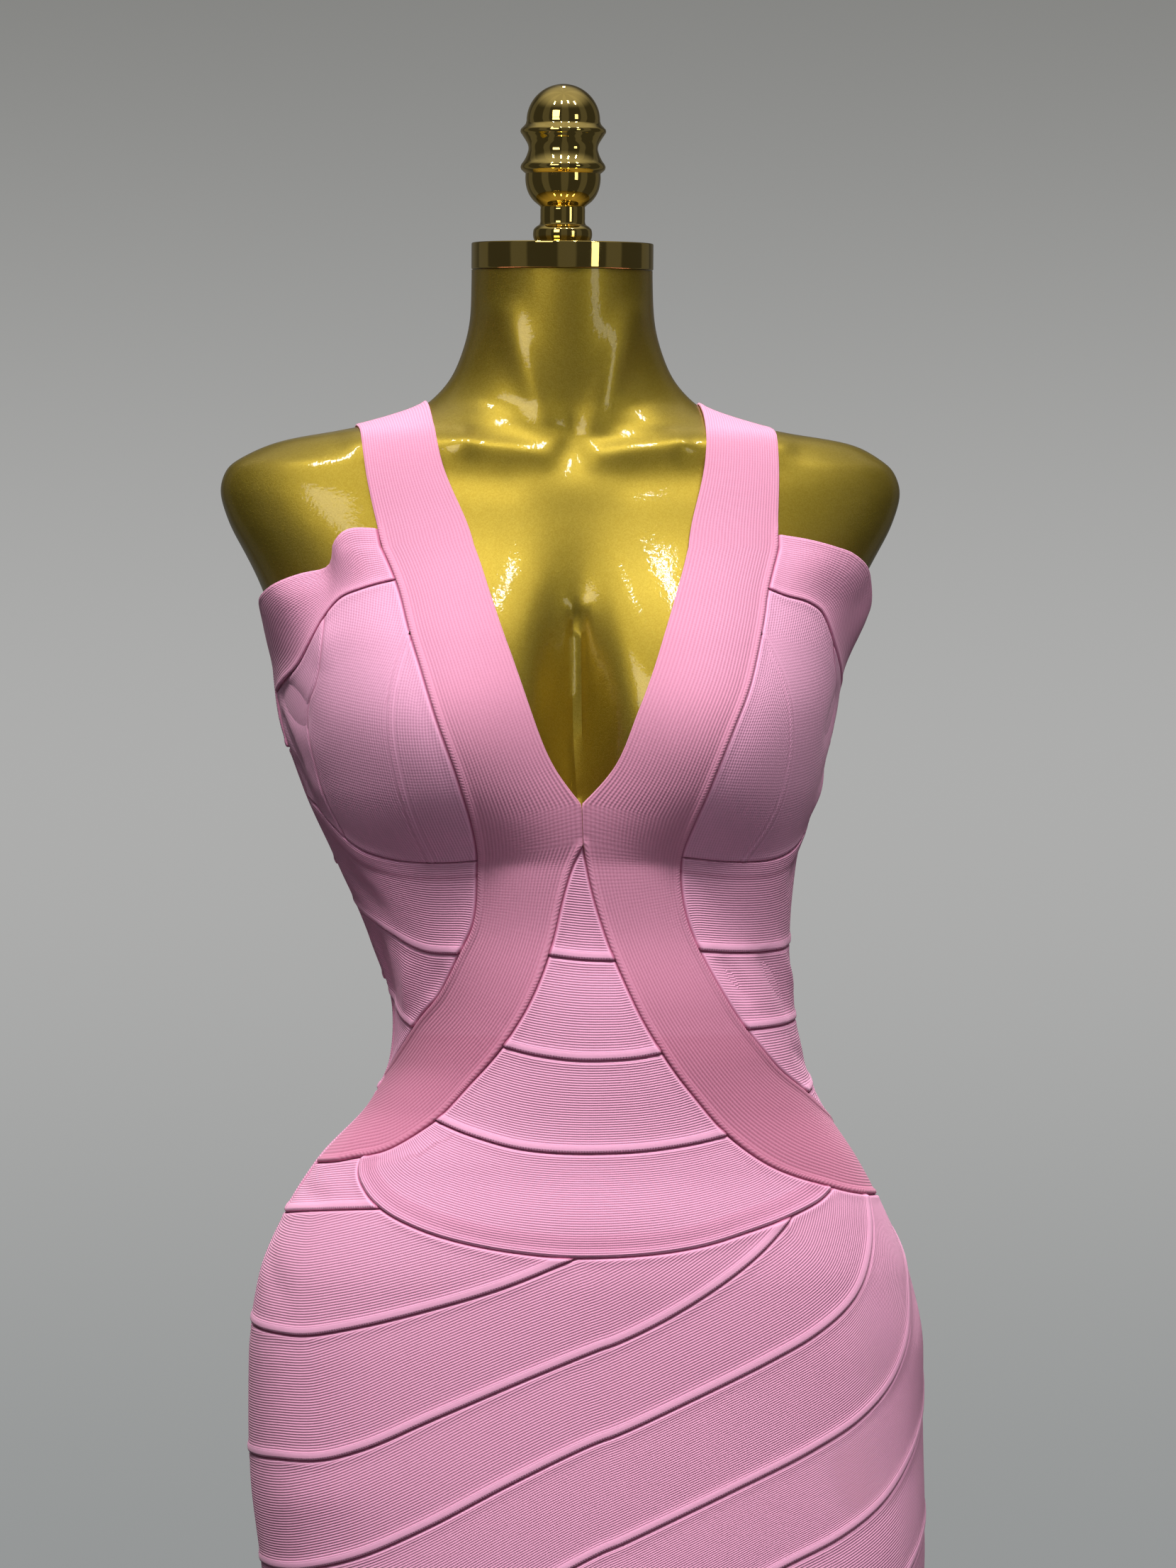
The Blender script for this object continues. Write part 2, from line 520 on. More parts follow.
class Seam:
    """A smooth line through a seam's rows."""

    DRAWN = 24
    OVERRUN = 12
    TURN_SCALE = 2.4

    def __init__(self, name, rows):
        self.name = name
        points, marks = [], []
        for group in self.groups(rows):
            start = marks[-1] if marks else 0
            drawn, at = smooth_line(group, (self.TURN_SCALE, 1), self.DRAWN)
            skip = 1 if points else 0
            points.extend(drawn[skip:])
            marks.extend(start + at[skip:])
        self.points = np.array(points)
        self.marks = np.array(marks)
        self.length = run_along(body_point(*self.points.T))

    @staticmethod
    def groups(rows):
        found = [[rows[0]]]
        for before, row in zip(rows, rows[1:]):
            if row == before:
                found.append([])
            found[-1].append(row)
        return found

    def overrun(self):
        """The drawn line with a short straight run past each end."""
        first = self.points[0] + (self.points[0] - self.points[1]) * self.run(0, 1)
        last = self.points[-1] + (self.points[-1] - self.points[-2]) * self.run(-1, -2)
        return np.vstack((first, self.points, last))

    def run(self, end, near):
        return self.OVERRUN / max(abs(self.length[end] - self.length[near]), 1e-6)

    def length_at(self, index):
        """The length along the seam at a place in its overrun line, past its ends too."""
        inside = index - 1
        past = min(inside, 0) + max(inside - len(self.points) + 1, 0)
        return float(np.interp(inside, np.arange(len(self.points)), self.length)) + past * self.OVERRUN

    def chart_at(self, length):
        """Turn and height at lengths along the seam, past its ends too."""
        line = self.overrun()
        at = np.concatenate(([-self.OVERRUN], self.length, [self.length[-1] + self.OVERRUN]))
        return np.stack((np.interp(length, at, line[:, 0]), np.interp(length, at, line[:, 1])), -1)


def crossing(one, other):
    """Lengths along two seams where they cross, nearest to both seams' own stretch."""
    a, b = one.overrun(), other.overrun()
    b[:, 0] += 360 * round(float(np.mean(a[:, 0]) - np.mean(b[:, 0])) / 360)
    p, r = a[:-1, None], np.diff(a, axis=0)[:, None]
    q, s = b[None, :-1], np.diff(b, axis=0)[None, :]
    turn = r[..., 0] * s[..., 1] - r[..., 1] * s[..., 0]
    turn = np.where(np.abs(turn) < 1e-12, np.nan, turn)
    gap = q - p
    t = (gap[..., 0] * s[..., 1] - gap[..., 1] * s[..., 0]) / turn
    u = (gap[..., 0] * r[..., 1] - gap[..., 1] * r[..., 0]) / turn
    hits = np.argwhere((t >= 0) & (t <= 1) & (u >= 0) & (u <= 1))
    places = [(one.length_at(i + t[i, j]), other.length_at(j + u[i, j])) for i, j in hits]

    def overshoot(place):
        return sum(max(0, -at, at - seam.length[-1]) for at, seam in zip(place, (one, other)))

    return min(places, key=overshoot)


def make_seams():
    end = behind_shoulder(BACK_TOP)
    rows = dict(SEAMS, strap_end=tuple((turn, end) for turn, _ in SEAMS["strap_end"]))
    for height in BACK_ROWS:
        rows[f"back_{height}"] = ((SIDE, height), (180, height), (360 - SIDE, height))
    return {name: Seam(name, table) for name, table in rows.items()}


# ---- Panels ------------------------------------------------------------------------------------
class Edge:
    """One side of a panel: stretches of seam end to end, read by a share from 0 to 1."""

    SPACING = 2
    FEWEST = 8

    def __init__(self, stretches, by_rows, whole_turn):
        charts, at = [], [0.0]
        self.lines = []
        for seam, start, end in stretches:
            fine = np.linspace(start, end, max(self.FEWEST, int(abs(end - start) / self.SPACING)))
            chart = seam.chart_at(fine)
            row = np.interp(fine, seam.length, seam.marks) if by_rows else fine
            at.extend(at[-1] + np.abs(row - row[0]))
            if whole_turn:
                chart[:, 0] = np.where(chart[:, 0] < 0, chart[:, 0] + 360, chart[:, 0])
            charts.append(chart)
            self.lines.append((seam.name, body_point(*chart.T)))
        self.at = np.array(at[1:])
        self.chart = np.vstack(charts)

    def read(self, share):
        at = np.asarray(share) * self.at[-1]
        return np.stack([np.interp(at, self.at, self.chart[:, k]) for k in (0, 1)], -1)


class Point:
    """A panel side drawn in to a point."""

    lines = ()

    def __init__(self, chart):
        self.chart = chart

    def read(self, share):
        return np.broadcast_to(self.chart, (*np.shape(share), 2))


class Panel:
    """A piece of cloth between four seams, read by shares across (u) and up (v)."""

    def __init__(self, seams, name, knit, ribs, lower, right, upper, left):
        self.name, self.knit, self.ribs = name, knit, ribs
        self.by_rows = knit == "v_band"
        self.whole_turn = name.startswith("back_band")
        sides = [(side,) if isinstance(side, str) else side for side in (lower, right, upper, left)]
        self.chains = [side and [seams[part] for part in side] for side in sides]
        lower, right, upper, left = self.chains
        corners = (
            (self.corner(lower, left, 0, 0, upper), self.corner(lower, right, -1, 0, upper)),
            (self.corner(right, lower, 0, -1, left), self.corner(right, upper, -1, -1, left)),
            (self.corner(upper, left, 0, -1, lower), self.corner(upper, right, -1, -1, lower)),
            (self.corner(left, lower, 0, 0, right), self.corner(left, upper, -1, 0, right)),
        )
        edges = [self.edge(i, corners[i]) for i in range(4)]
        self.lower = edges[0] or Point(edges[3].read(0))
        self.right = edges[1] or Point(self.lower.read(1))
        self.upper = edges[2] or Point(edges[1].read(1) if edges[3] is None else edges[3].read(1))
        self.left = edges[3] or Point(self.lower.read(0))

    @staticmethod
    def corner(chain, other, end, other_end, opposite):
        """The length along a chain's end seam where the next side, or the opposite, crosses it."""
        if chain is None:
            return None
        if other is None:
            other, other_end = opposite, end
        return crossing(chain[end], other[other_end])[0]

    def edge(self, index, corner):
        chain = self.chains[index]
        if chain is None:
            return None
        start, end = corner
        stretches = [(chain[0], start, end)]
        if len(chain) == 2:
            first, second = crossing(chain[0], chain[1])
            stretches = [(chain[0], start, first), (chain[1], second, end)]
        return Edge(stretches, self.by_rows and index in (1, 3), self.whole_turn)

    def chart(self, u, v):
        """Turn and height at shares across and up, from the four sides blended together."""
        w, h = u[..., None], v[..., None]
        ruled = self.lower.read(u) * (1 - h) + self.upper.read(u) * h
        ruled = ruled + self.left.read(v) * (1 - w) + self.right.read(v) * w
        ends = (self.lower.read(0), self.lower.read(1), self.upper.read(0), self.upper.read(1))
        bilinear = (ends[0] * (1 - w) + ends[1] * w) * (1 - h) + (ends[2] * (1 - w) + ends[3] * w) * h
        return ruled - bilinear

    def sizes(self):
        """Shares, and there the lengths of the rows across and of the columns up."""
        share = np.linspace(0, 1, SIZE_STEPS)
        u, v = np.meshgrid(share, share)
        chart = self.chart(u, v)
        point = body_point(chart[..., 0], chart[..., 1])
        across = np.linalg.norm(np.diff(point, axis=1), axis=-1).sum(1)
        up = np.linalg.norm(np.diff(point, axis=0), axis=-1).sum(0)
        return share, across, up

    def edge_kind(self, side, seam):
        """How the cloth lies at a seam: over its neighbour, under it, free, or butted to it."""
        if seam.startswith("side") or seam == "strap_end":
            return "side"
        if seam.startswith(("inner", "outer")):
            return "under"
        if seam.startswith("cup"):
            return "needle" if seam.startswith("cup_line") else "seam"
        if seam.startswith("band_edge") or seam in ("hem", f"back_{HEM}", f"back_{BACK_TOP}"):
            return "free"
        if seam.startswith("underbust"):
            return "hem" if self.name.startswith("midriff") else "under"
        if seam.startswith("band_seam") and side == "lower":
            return "lap"
        if seam == "centre_arc":
            return "arc" if self.name.startswith("centre") else "under"
        return "over" if side == "lower" else "under"

    def edge_lines(self):
        """(kind, line on the body) for each stretch of seam round the panel."""
        found = []
        for side in ("lower", "right", "upper", "left"):
            for seam, line in getattr(self, side).lines:
                if self.knit == "v_band" and seam.startswith(("inner", "outer")):
                    found += v_band_lines(seam, line)
                else:
                    found.append((self.edge_kind(side, seam), line))
        return found


def v_band_lines(seam, line):
    """A V band's edge is free at neck and armhole, joined to its twin, then stitched over the bands."""
    inner = seam.startswith("inner")
    joined = (line[:, 1] < 0) & (line[:, 2] < (V_POINT if inner else STRAP_JOIN))
    over = joined & (line[:, 2] < APEX) if inner else joined
    parts = (("free", ~joined), ("join", joined & ~over), ("whip", over))
    return [(kind, line[mask]) for kind, mask in parts if mask.sum() > 2]


def rim_shares(length, count):
    """Shares of each length for grid lines: close ones in from both ends, even ones between."""
    rim = np.array(RIM_LINES, float)
    squeeze = np.minimum(1, RIM_SHARE * length / rim[-1])
    low = rim[:, None, None] * squeeze / np.maximum(length, 1e-6)
    between = np.arange(1, count)[:, None, None] / count
    middle = low[-1] + (1 - 2 * low[-1]) * between
    return np.concatenate((low, middle, 1 - low[::-1]))


def panel_grid(panel):
    """Shares across and up for every vertex of the panel's grid, as two arrays of rows by columns."""
    share, across, up = panel.sizes()
    wide = share[up >= TIP_WIDTH]
    tall = share[across >= TIP_WIDTH]
    u_low, u_high, v_low, v_high = wide[0], wide[-1], tall[0], tall[-1]
    columns = max(2, round(float(across.max()) / SPACING))
    rows = max(2, round(float(up.max()) / SPACING))
    middle_row = rim_shares(np.array([[np.median(up)]]), rows)[:, 0, 0]
    v_guess = v_low + (v_high - v_low) * middle_row
    width = np.interp(v_guess, share, across)[None, :]
    u = rim_shares(width, columns)[:, 0, :].T
    u = u_low + (u_high - u_low) * u
    height = np.interp(u, share, up)
    v = np.empty_like(u)
    shares = rim_shares(height, rows)
    for i in range(len(v_guess)):
        v[i] = v_low + (v_high - v_low) * shares[i, i]
    return u, v


def along_and_away(points, line, batch=2000):
    """How far along a line each point lies nearest, and how far it is from there."""
    start, step = line[:-1], np.diff(line, axis=0)
    size = np.linalg.norm(step, axis=1)
    keep = size > 1e-6
    start, step, size = start[keep], step[keep], size[keep]
    run = np.concatenate(([0], np.cumsum(size)))[:-1]
    flat = points.reshape(-1, 3)
    along, away = np.empty(len(flat)), np.empty(len(flat))
    for first in range(0, len(flat), batch):
        part = slice(first, first + batch)
        gap = flat[part, None] - start
        t = np.clip((gap * step).sum(-1) / size**2, 0, 1)
        distance = np.linalg.norm(gap - t[..., None] * step, axis=-1)
        k = np.argmin(distance, axis=1)
        row = np.arange(len(k))
        along[part] = run[k] + t[row, k] * size[k]
        away[part] = distance[row, k]
    return along.reshape(points.shape[:-1]), away.reshape(points.shape[:-1])


def crease_rise(panel, points):
    """The rise of every crease that crosses the panel, dying away towards both of its ends."""
    rise = np.zeros(points.shape[:-1])
    for pieces, start_turn, start_height, end_turn, end_height, height, width in CREASES:
        if not panel.name.startswith(pieces):
            continue
        share = np.linspace(0, 1, CREASE_STEPS)
        line = body_point(start_turn + (end_turn - start_turn) * share,
                          start_height + (end_height - start_height) * share)
        along, away = along_and_away(points, line)
        place = np.clip(along / run_along(line)[-1], 0.03, 0.97)
        fade = np.sin(np.pi * place) ** 0.7
        rise += height * fade * np.exp(-((away / width) ** 2))
    return rise


def edge_stand(panel, u, v):
    """How far a bust band's loose top edge stands off, in waves that die away down the band."""
    if panel.name not in STANDS:
        return np.zeros_like(u)
    return STANDS[panel.name](u) * (1 - np.cos(np.pi * np.clip(v, 0, 1))) / 2


def grid_lengths(points):
    """The length along each row and each column of a grid up to every point."""
    across = np.linalg.norm(np.diff(points, axis=1), axis=-1)
    up = np.linalg.norm(np.diff(points, axis=0), axis=-1)
    return (
        np.pad(np.cumsum(across, axis=1), ((0, 0), (1, 0))),
        np.pad(np.cumsum(up, axis=0), ((1, 0), (0, 0))),
    )


def knit_places(panel, points, u, v):
    """Where each point lies in the knit: along the ribs, and across them."""
    across, up = grid_lengths(points)
    if panel.ribs == "length":
        line = getattr(panel, "left" if panel.name.endswith("left") else "right").lines[0][1]
        along, _ = along_and_away(points, line)
        return along, u * float(np.median(across[:, -1]))
    if panel.ribs == "grid":
        return up, across
    lower_lines = [line for _, line in panel.lower.lines] or [points[0]]
    upper_lines = [line for _, line in panel.upper.lines] or [points[-1]]
    low_along, low = along_and_away(points, np.vstack(lower_lines))
    high_along, high = along_and_away(points, np.vstack(upper_lines))
    if panel.ribs == "lower":
        return low_along, low
    if panel.ribs == "upper":
        return high_along, high
    return low_along, float(np.median(up[-1])) * low / np.maximum(low + high, 1e-3)


def edge_distances(panel, points):
    """Distances to the nearest edge of each kind."""
    found = {kind: np.full(points.shape[:-1], float(FAR)) for kind in PROFILES}
    for kind, line in panel.edge_lines():
        _, away = along_and_away(points, line)
        found[kind] = np.minimum(found[kind], away)
    return found


def pillow(panel, points):
    """The cloth's rise between its long seams."""
    if panel.ribs == "length":
        sides = (panel.left, panel.right)
    elif panel.ribs == "grid":
        return np.zeros(points.shape[:-1])
    else:
        sides = (panel.lower, panel.upper)
    near = []
    for side in sides:
        lines = [line for _, line in side.lines]
        near.append(along_and_away(points, np.vstack(lines))[1] if lines else 0)
    width = near[0] + near[1]
    share = near[0] / np.maximum(width, 1e-3)
    rise = STRAP_PILLOW if panel.ribs == "length" else PILLOW
    shape = (4 * share * (1 - share)) ** PILLOW_POWER
    if panel.ribs != "length":
        shape = LAP_SHARE * (1 - share) ** LAP_POWER + (1 - LAP_SHARE) * shape
    return rise * np.minimum(1, width / PILLOW_WIDTH) * shape


def cloth_shell(panel):
    """Outer and inner faces of the panel's cloth as grids of points, and its texture places."""
    u, v = panel_grid(panel)
    share, across, up = panel.sizes()
    u_gap = np.clip(SEAM_GAP / 2 / np.maximum(np.interp(v, share, across), 0.5), 0, 0.4)
    v_gap = np.clip(SEAM_GAP / 2 / np.maximum(np.interp(u, share, up), 0.5), 0, 0.4)
    chart = panel.chart(np.clip(u, u_gap, 1 - u_gap), np.clip(v, v_gap, 1 - v_gap))
    turn, height = chart[..., 0], chart[..., 1]
    points = body_point(turn, height)
    normal = body_normal(turn, height)
    distances = edge_distances(panel, points)
    lift = np.interp(np.minimum(height, SHOULDER_BASE), CHEST, (CLOTH_LIFT, CHEST_LIFT))
    lift = lift + edge_stand(panel, u, v) + (V_BAND_LIFT if panel.knit == "v_band" else 0)
    rise = pillow(panel, points) + sum(RISES[kind](away) for kind, away in distances.items())
    rise = rise + crease_rise(panel, points)
    outer = points + normal * (lift + rise)[..., None]
    inner = points + normal * (lift - CLOTH)[..., None]
    knit = knit_places(panel, points, u, v)
    stitching = np.abs(distances["needle"] - NEEDLE_IN) + 0.3
    seam = np.minimum(np.minimum(distances["seam"], distances["side"]), stitching)
    places = {
        "knit": knit,
        "edge": (distances["over"], distances["under"]),
        "rim": (distances["free"], seam),
        "trim": (distances["whip"], np.minimum(distances["hem"], distances["arc"])),
    }
    return outer, inner, places


# ---- Meshes ------------------------------------------------------------------------------------
def new_piece(name, points, faces, material):
    """A smooth-shaded mesh object from points in millimetres."""
    mesh = bpy.data.meshes.new(name)
    mesh.from_pydata((np.asarray(points) * MM).tolist(), [], faces)
    mesh.materials.append(material)
    mesh.shade_smooth()
    piece = bpy.data.objects.new(name, mesh)
    bpy.context.scene.collection.objects.link(piece)
    return piece


def quads(grid, turned_over=False):
    """Faces between the rows and columns of a grid of vertex numbers."""
    corners = np.stack((grid[:-1, :-1], grid[:-1, 1:], grid[1:, 1:], grid[1:, :-1]), -1).reshape(-1, 4)
    return corners[:, ::-1] if turned_over else corners


def rim_loop(grid):
    """The vertex numbers round a grid's rim, anticlockwise."""
    return np.concatenate((grid[0, :-1], grid[:-1, -1], grid[-1, :0:-1], grid[:0:-1, 0]))


def add_uv(piece, name, places):
    """A UV map from values at the vertices, in metres."""
    mesh = piece.data
    loops = np.empty(len(mesh.loops), np.int32)
    mesh.loops.foreach_get("vertex_index", loops)
    values = np.stack([np.asarray(place).ravel() for place in places], -1) * MM
    layer = mesh.uv_layers.new(name=name)
    layer.data.foreach_set("uv", values[loops].astype(np.float32).ravel())


def make_cloth(panel, materials):
    outer, inner, places = cloth_shell(panel)
    rows, columns = outer.shape[:2]
    front = np.arange(rows * columns).reshape(rows, columns)
    back = front + rows * columns
    rim, behind = rim_loop(front), rim_loop(back)
    wall = np.stack((behind, np.roll(behind, -1), np.roll(rim, -1), rim), -1)
    faces = np.vstack((quads(front), quads(back, turned_over=True), wall))
    points = np.vstack((outer.reshape(-1, 3), inner.reshape(-1, 3)))
    piece = new_piece(f"cloth_{panel.name}", points, faces.tolist(), materials[panel.knit])
    for name, pair in places.items():
        add_uv(piece, name, [np.tile(np.asarray(place).ravel(), 2) for place in pair])
    return piece, outer


def declare_cloth(panel, piece, outer, least=0.011):
    """Rides, slots and replaces, and states the flat cut: what is worn, less the knit's stretch."""
    across, up = grid_lengths(outer)
    sides = np.cross(outer[1:, 1:] - outer[:-1, :-1], outer[1:, :-1] - outer[:-1, 1:])
    area = float(np.linalg.norm(sides, axis=-1).sum()) / 2 * MM * MM / STRETCH
    length, width = float(across[:, -1].max()), float(up[-1].max())
    if panel.ribs == "length":
        length, width = float(np.median(up[-1])), float(across[:, -1].max())
    length = round(max(length * MM / STRETCH, least), 3)
    width = round(max(width * MM, least, area / length), 3)
    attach(piece, "root")
    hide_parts(panel.name)


def make_dress(materials):
    seams = make_seams()
    rows = list(zip(BACK_ROWS[1:], BACK_ROWS))
    back = [
        (f"back_band_{i:02d}", "band", "even", f"back_{low}", "side_left", f"back_{high}", "side_right")
        for i, (low, high) in enumerate(rows, 1)
    ]
    for row in (*FRONT_PANELS, *back):
        panel = Panel(seams, *row)
        piece, outer = make_cloth(panel, materials)
        declare_cloth(panel, piece, outer)


# ---- The form and its stand --------------------------------------------------------------------
def stepped(rows, end):
    """Numbers from the first row's start up to an end, each row with its own step."""
    stops = [start for start, _ in rows[1:]] + [end]
    return np.concatenate([np.arange(start, stop, step) for (start, step), stop in zip(rows, stops)])


def form_rings():
    """The form's surface as rings of points, hollowed between the breasts and at the throat."""
    heights = np.append(stepped(FORM_HEIGHTS, NECK_TOP), NECK_TOP)
    turn, height = np.meshgrid(stepped(FORM_TURNS, 180), heights)
    rings = torso_point(turn, height.astype(float))
    across = rings[..., 0] - CENTRE(rings[..., 2])
    front = rings[..., 1] < 0
    for hollow in (CLEAVAGE, THROAT):
        dent = hollow["depth"] * np.exp(-((rings[..., 2] - hollow["height"]) / hollow["reach"]) ** 2)
        rings[..., 1] += np.where(front, dent * np.exp(-((across / hollow["width"]) ** 2)), 0)
    return rings


def smoothed(rings):
    """The rings with every point drawn towards its neighbours, the top and bottom rings kept."""
    for _ in range(FORM_SMOOTHING):
        around = (np.roll(rings, 1, axis=1) + np.roll(rings, -1, axis=1)) / 2
        middle = (around[1:-1] + (rings[:-2] + rings[2:]) / 2) / 2
        drawn = rings[1:-1] * (1 - SMOOTH_SHARE) + middle * SMOOTH_SHARE
        rings = np.concatenate((rings[:1], drawn, rings[-1:]))
    return rings


def ring_normals(rings):
    around = np.roll(rings, -1, axis=1) - np.roll(rings, 1, axis=1)
    upward = np.gradient(rings, axis=0)
    normal = np.cross(around, upward)
    return normal / np.linalg.norm(normal, axis=-1, keepdims=True)


def ridge_rise(rings):
    """The collarbones, the hollows below them and the neck's tendons, the same on both sides."""
    rise = np.zeros(rings.shape[:-1])
    place = np.stack((np.abs(rings[..., 0]), rings[..., 2]), -1)
    for _, x0, z0, x1, z1, height, width in FORM_RIDGES:
        start, step = np.array((x0, z0)), np.array((x1 - x0, z1 - z0))
        t = np.clip(((place - start) @ step) / (step @ step), 0, 1)
        away = np.linalg.norm(place - start - t[..., None] * step, axis=-1)
        rise += height * np.exp(-((away / width) ** 2)) * (rings[..., 1] < 0)
    return rise


def make_form(material):
    rings = smoothed(form_rings())
    rings = rings + ring_normals(rings) * ridge_rise(rings)[..., None]
    tilt = np.clip((rings[..., 2] - TILT_FROM) / (NECK_TOP - TILT_FROM), 0, 1)
    rings[..., 2] += rings[..., 1] * math.tan(math.radians(NECK_TILT)) * tilt * tilt * (3 - 2 * tilt)
    rows, columns = rings.shape[:2]
    grid = np.arange(rows * columns).reshape(rows, columns)
    faces = quads(np.hstack((grid, grid[:, :1]))).tolist()
    faces += [grid[0, ::-1].tolist(), grid[-1].tolist()]
    piece = new_piece("form_body", rings.reshape(-1, 3), faces, material)
    piece.data.set_sharp_from_angle(angle=math.radians(50))
    place_piece(piece, "form_torso")


def place_piece(piece, node):
    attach(piece, "root")
    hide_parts(node)


def turned(name, profile, material):
    """A solid of revolution about Z; the profile runs down its outer side, from axis to axis."""
    profile = np.array(profile, float)
    angle = np.arange(TURNED_STEPS) * 2 * math.pi / TURNED_STEPS
    around = np.stack((np.cos(angle), np.sin(angle)), -1)
    level = np.ones((TURNED_STEPS, 1))
    rings = [np.hstack((around * radius, level * height)) for radius, height in profile[1:-1]]
    points = np.vstack((*rings, (0, 0, profile[0, 1]), (0, 0, profile[-1, 1])))
    grid = np.arange(len(rings) * TURNED_STEPS).reshape(len(rings), TURNED_STEPS)
    grid = np.hstack((grid, grid[:, :1]))
    faces = quads(grid, turned_over=True).tolist()
    top, bottom = len(points) - 2, len(points) - 1
    faces += [(top, i, j) for i, j in zip(grid[0, :-1].tolist(), grid[0, 1:].tolist())]
    faces += [(bottom, j, i) for i, j in zip(grid[-1, :-1].tolist(), grid[-1, 1:].tolist())]
    piece = new_piece(name, points, faces, material)
    piece.data.set_sharp_from_angle(angle=math.radians(35))
    return piece


def rounded(corners, radius, steps=5):
    """A profile with each corner but its two ends rounded."""
    corners = np.array(corners, float)
    found = [corners[0]]
    for before, corner, after in zip(corners, corners[1:], corners[2:]):
        start = before - corner
        end = after - corner
        reach = min(radius, 0.45 * np.linalg.norm(start), 0.45 * np.linalg.norm(end))
        start = corner + start / np.linalg.norm(start) * reach
        end = corner + end / np.linalg.norm(end) * reach
        for t in np.linspace(0, 1, steps + 1):
            found.append((1 - t) ** 2 * start + 2 * t * (1 - t) * corner + t * t * end)
    found.append(corners[-1])
    return found


def finial_profile():
    dome = [
        (DOME_RADIUS * math.sin(a), DOME_BASE + DOME_RADIUS * math.cos(a))
        for a in np.radians(np.arange(0, 90, 3))
    ]
    below = [smooth_line(rows, (1, 1), 5)[0] for rows in FINIAL_STRETCHES]
    return np.vstack((dome, *below, ((0, 0),)))


def make_cap_and_finial(material):
    r, h = CAP_RADIUS, CAP_HEIGHT
    cap = turned("form_cap", rounded(((0, h), (r, h), (r, 0), (0, 0)), 0.9), material)
    finial = turned("form_knob", finial_profile(), material)
    axis = Matrix.Rotation(math.radians(NECK_TILT), 4, "X")
    middle = float(BACK(NECK_TOP) - FRONT(NECK_TOP)) / 2
    neck = Vector((0, middle, NECK_TOP + middle * math.tan(math.radians(NECK_TILT)))) * MM
    up = axis @ Vector((0, 0, MM))
    cap.matrix_world = Matrix.Translation(neck + up * FIT) @ axis
    finial.matrix_world = Matrix.Translation(neck + up * (CAP_HEIGHT + 2 * FIT)) @ axis
    place_piece(cap, "form_neck_cap")
    place_piece(finial, "form_finial")


def make_stand(material):
    r, h = BASE_RADIUS, BASE_HEIGHT
    foot = COLLAR_HEIGHT + h + FIT
    base = turned("stand_foot", rounded(((0, h), (r - 5, h), (r, h - 5), (r, 0), (0, 0)), 3.0), material)
    flare = smooth_line(((20, foot - 4), (22, foot - 18), (28, foot - 32), (38, h + 3)), (1, 1), 8)[0]
    lip = rounded(((0, foot), (19, foot), (20, foot - 4)), 1.5)
    skirt = ((39.6, h + 1.6), (40, h + FIT), (0, h + FIT))
    collar = turned("stand_flare", np.vstack((lip, flare[1:], skirt)), material)
    r, low, high = POLE_RADIUS, foot + FIT, FORM_BOTTOM - FIT
    pole = turned("stand_tube", rounded(((0, high), (r, high), (r, low), (0, low)), 0.6), material)
    for piece, node in ((base, "stand_base"), (collar, "stand_collar"), (pole, "stand_pole")):
        place_piece(piece, node)


